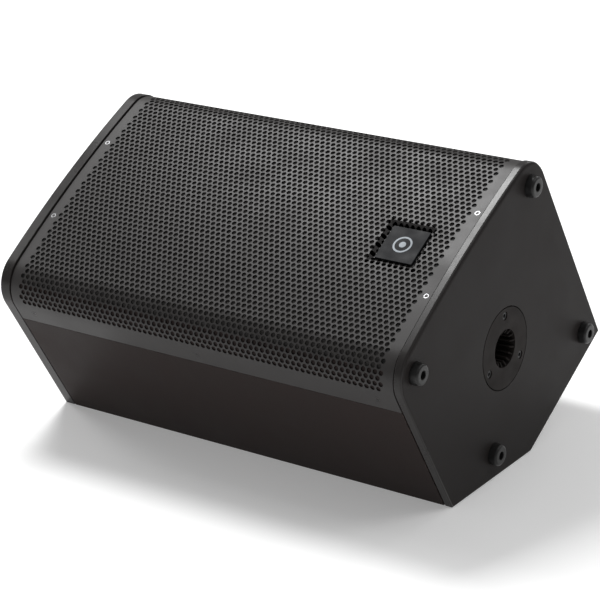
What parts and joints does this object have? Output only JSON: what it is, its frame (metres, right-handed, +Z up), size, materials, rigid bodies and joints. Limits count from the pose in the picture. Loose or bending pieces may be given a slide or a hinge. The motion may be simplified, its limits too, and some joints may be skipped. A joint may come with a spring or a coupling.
{
  "type": "stage monitor wedge",
  "caption": "Powered two-way stage loudspeaker resting on its monitor face, with a bowed perforated grille, rounded end panels, rubber feet and a pole socket.",
  "frame": {"origin": "centre of the monitor face that it rests on", "axes": "+X along the cabinet towards the end with the pole socket, +Y away from the listener, +Z up; the front faces -Y and +Z"},
  "size_m": [0.6242, 0.4775, 0.3868],
  "materials": {
    "cabinet_paint": "textured black coating over plywood",
    "end_paint": "textured black coating over plywood",
    "baffle_paint": "flat black paint over plywood",
    "plywood": "bare plywood",
    "wadding": "soft polyester wadding",
    "grille_paint": "fine textured dark powder coat",
    "acoustic_foam": "open-cell foam",
    "screw_steel": "bright zinc",
    "black_steel": "black oxide",
    "badge_plastic": "satin black with a light grey ring and dot",
    "foot_rubber": "moulded rubber",
    "grip_rubber": "soft-touch rubber",
    "socket_plastic": "fine moulded texture",
    "moulded_plastic": "moulded black",
    "basket_paint": "black powder coat",
    "gasket_rubber": "closed-cell strip",
    "surround_cloth": "doped cloth",
    "cone_paper": "pressed paper",
    "spider_cloth": "impregnated cotton",
    "copper_wire": "enamelled copper",
    "contact_metal": "nickel-plated contacts",
    "motor_steel": "zinc-plated",
    "ferrite": "sintered ferrite",
    "titanium": "thin formed metal",
    "panel_paint": "satin black",
    "heatsink_aluminium": "black anodised",
    "cover_steel": "zinc-plated",
    "circuit_board": "solder mask",
    "knob_plastic": "ribbed",
    "button_plastic": "moulded light grey",
    "rocker_plastic": "moulded black",
    "indicator_lens": "tinted lens"
  },
  "bodies": {
    "cabinet": {"side_board_lower": "cabinet_paint", "side_board_upper": "cabinet_paint", "floor_board": "cabinet_paint", "back_board": "cabinet_paint", "baffle_board": "baffle_paint", "end_panel_top": "end_paint", "end_panel_bottom": "end_paint", "grille_rails": "baffle_paint", "side_brace": "plywood", "damping_wadding": "wadding", "grille": "grille_paint", "grille_foam": "acoustic_foam", "grille_screws": "screw_steel", "badge": "badge_plastic", "rubber_feet": "foot_rubber", "foot_screws": "black_steel", "pole_socket": "socket_plastic", "pole_socket_screws": "black_steel", "handle_cup": "moulded_plastic", "handle_grip": "grip_rubber", "countersunk_screws": "black_steel", "woofer_basket": "basket_paint", "woofer_gasket": "gasket_rubber", "woofer_surround": "surround_cloth", "woofer_spider": "spider_cloth", "woofer_top_plate": "motor_steel", "woofer_magnet": "ferrite", "woofer_pole_piece": "motor_steel", "woofer_screws": "black_steel", "horn": "moulded_plastic", "hf_pole_piece": "motor_steel", "hf_magnet": "ferrite", "hf_top_plate": "motor_steel", "hf_rear_cover": "moulded_plastic", "port_tubes": "moulded_plastic", "amp_frame": "panel_paint", "amp_panel": "panel_paint", "amp_heatsink": "heatsink_aluminium", "amp_cover": "cover_steel", "amp_board": "circuit_board", "power_board": "circuit_board", "input_jacks": "moulded_plastic", "output_jack": "moulded_plastic", "panel_contacts": "contact_metal", "gain_pots": "cover_steel", "button_switches": "moulded_plastic", "indicator_lights": "indicator_lens", "mains_inlet": "moulded_plastic", "rocker_housing": "moulded_plastic"},
    "woofer_cone_body": {"woofer_cone": "cone_paper", "woofer_dust_cap": "cone_paper", "woofer_voice_coil": "copper_wire"},
    "hf_diaphragm_body": {"hf_diaphragm": "titanium"},
    "gain_knob_1_body": {"gain_knob_1": "knob_plastic"},
    "gain_knob_2_body": {"gain_knob_2": "knob_plastic"},
    "mode_button_body": {"mode_button": "button_plastic"},
    "low_cut_button_body": {"low_cut_button": "button_plastic"},
    "power_rocker_body": {"power_rocker": "rocker_plastic"},
    "input_latch_1_body": {"input_latch_1": "screw_steel"},
    "input_latch_2_body": {"input_latch_2": "screw_steel"}
  },
  "joints": [
    {"name": "woofer_travel", "type": "slide", "parent": "cabinet", "child": "woofer_cone_body", "axis": [0, -0.5, 0.866], "range_m": [-0.006, 0.006], "stiffness_N_per_m": 4000, "deforming": ["woofer_surround", "woofer_spider"]},
    {"name": "hf_diaphragm_travel", "type": "slide", "parent": "cabinet", "child": "hf_diaphragm_body", "axis": [0, -0.5, 0.866], "range_m": [-0.0003, 0.0003], "stiffness_N_per_m": 20000},
    {"name": "gain_1_turn", "type": "hinge", "parent": "cabinet", "child": "gain_knob_1_body", "pos_m": [0.074, 0.14047, 0.0427], "axis": [0, 0.5, -0.866], "range_deg": [-150, 150]},
    {"name": "gain_2_turn", "type": "hinge", "parent": "cabinet", "child": "gain_knob_2_body", "pos_m": [0.074, 0.17511, 0.0627], "axis": [0, 0.5, -0.866], "range_deg": [-150, 150]},
    {"name": "mode_button_press", "type": "slide", "parent": "cabinet", "child": "mode_button_body", "axis": [0, -0.5, 0.866], "range_m": [0, 0.0015], "stiffness_N_per_m": 900, "springref_m": -0.0005},
    {"name": "low_cut_button_press", "type": "slide", "parent": "cabinet", "child": "low_cut_button_body", "axis": [0, -0.5, 0.866], "range_m": [0, 0.0015], "stiffness_N_per_m": 900, "springref_m": -0.0005},
    {"name": "power_rocker_tilt", "type": "hinge", "parent": "cabinet", "child": "power_rocker_body", "pos_m": [0.126, 0.15455, 0.0543], "axis": [1, 0, 0], "range_deg": [-11, 11]},
    {"name": "input_latch_1_press", "type": "slide", "parent": "cabinet", "child": "input_latch_1_body", "axis": [0, -0.5, 0.866], "range_m": [0, 0.002], "stiffness_N_per_m": 700, "springref_m": -0.0005},
    {"name": "input_latch_2_press", "type": "slide", "parent": "cabinet", "child": "input_latch_2_body", "axis": [0, -0.5, 0.866], "range_m": [0, 0.002], "stiffness_N_per_m": 700, "springref_m": -0.0005}
  ]
}
